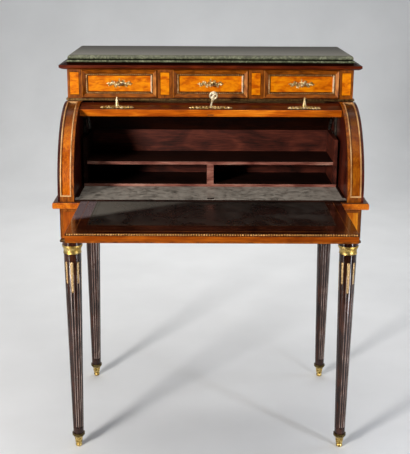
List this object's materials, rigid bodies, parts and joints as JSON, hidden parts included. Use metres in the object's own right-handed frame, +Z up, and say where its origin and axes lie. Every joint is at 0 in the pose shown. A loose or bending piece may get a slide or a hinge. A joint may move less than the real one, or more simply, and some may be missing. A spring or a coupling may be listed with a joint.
{
  "type": "cylinder desk",
  "caption": "Cylinder desk on fluted turned legs, with a curved roll-back lid, a pull-out leather writing slide, pigeonholes and a drawer tier under a marble top.",
  "frame": {"origin": "on the floor, under the middle of the space the desk takes up with its writing slide pulled out", "axes": "+Z up, the front faces -Y, +X to the sitter's right"},
  "size_m": [0.813, 0.8084, 1.044],
  "materials": {
    "marble": "polished",
    "satinwood": "polished",
    "mahogany": "polished",
    "dark_mahogany": "satin",
    "oak": "matte",
    "gilt_brass": "polished",
    "steel": "satin",
    "iron": "matte",
    "slide_leather": "gloss",
    "bed_leather": "worn"
  },
  "bodies": {
    "case": {"apron_back": "oak", "apron_bead": "gilt_brass", "apron_front": "satinwood", "apron_left": "satinwood", "apron_right": "satinwood", "back_panel": "oak", "bed_leather": "bed_leather", "cheek_left": "satinwood", "cheek_right": "satinwood", "cornice": "mahogany", "leg_back_left": "dark_mahogany", "leg_back_right": "dark_mahogany", "leg_capitals": "gilt_brass", "leg_feet": "gilt_brass", "leg_front_left": "dark_mahogany", "leg_front_right": "dark_mahogany", "marble_top": "marble", "pivot_pins": "steel", "slide_runner_left": "oak", "slide_runner_right": "oak", "tier_back": "oak", "tier_divider_left": "mahogany", "tier_divider_right": "mahogany", "tier_end_left": "satinwood", "tier_end_right": "satinwood", "tier_fillet": "gilt_brass", "tier_floor_board": "mahogany", "tier_top_board": "mahogany", "unit_back": "oak", "unit_divider": "mahogany", "unit_end_left": "mahogany", "unit_end_right": "mahogany", "unit_floor_board": "mahogany", "unit_shelf": "mahogany", "waist_moulding_left": "mahogany", "waist_moulding_right": "mahogany", "writing_bed": "mahogany"},
    "cylinder": {"cylinder_shell": "mahogany", "cylinder_rail": "satinwood", "cylinder_mounts": "gilt_brass", "arm_left": "iron", "arm_right": "iron", "knob_left": "gilt_brass", "knob_right": "gilt_brass", "lock_case": "steel"},
    "key": {"key": "steel"},
    "lock_bolt": {"lock_bolt": "steel"},
    "writing_slide": {"slide_board": "mahogany", "slide_leather": "slide_leather"},
    "drawer_left": {"drawer_left_front": "satinwood", "drawer_left_box": "oak", "pull_left": "gilt_brass"},
    "drawer_middle": {"drawer_middle_front": "satinwood", "drawer_middle_box": "oak", "pull_middle": "gilt_brass"},
    "drawer_right": {"drawer_right_front": "satinwood", "drawer_right_box": "oak", "pull_right": "gilt_brass"}
  },
  "joints": [
    {"name": "cylinder_turn", "type": "hinge", "parent": "case", "child": "cylinder", "pos_m": [0, 0.09575, 0.716], "axis": [1, 0, 0], "range_deg": [0, 76]},
    {"name": "slide_run", "type": "slide", "parent": "case", "child": "writing_slide", "axis": [0, 1, 0], "range_m": [0, 0.28]},
    {"name": "key_turn", "type": "hinge", "parent": "cylinder", "child": "key", "pos_m": [0, 0.05548, 0.91395], "axis": [0.2079, -0.195, 0.9585], "range_deg": [0, 90]},
    {"name": "bolt_shoot", "type": "slide", "parent": "cylinder", "child": "lock_bolt", "axis": [0, -0.9799, -0.1994], "range_m": [0, 0.007]},
    {"name": "drawer_left_run", "type": "slide", "parent": "case", "child": "drawer_left", "axis": [0, -1, 0], "range_m": [0, 0.05]},
    {"name": "drawer_middle_run", "type": "slide", "parent": "case", "child": "drawer_middle", "axis": [0, -1, 0], "range_m": [0, 0.05]},
    {"name": "drawer_right_run", "type": "slide", "parent": "case", "child": "drawer_right", "axis": [0, -1, 0], "range_m": [0, 0.05]}
  ],
  "couplings": [
    {"joint": "bolt_shoot", "follows": "key_turn", "m_per_rad": 0.00445}
  ]
}
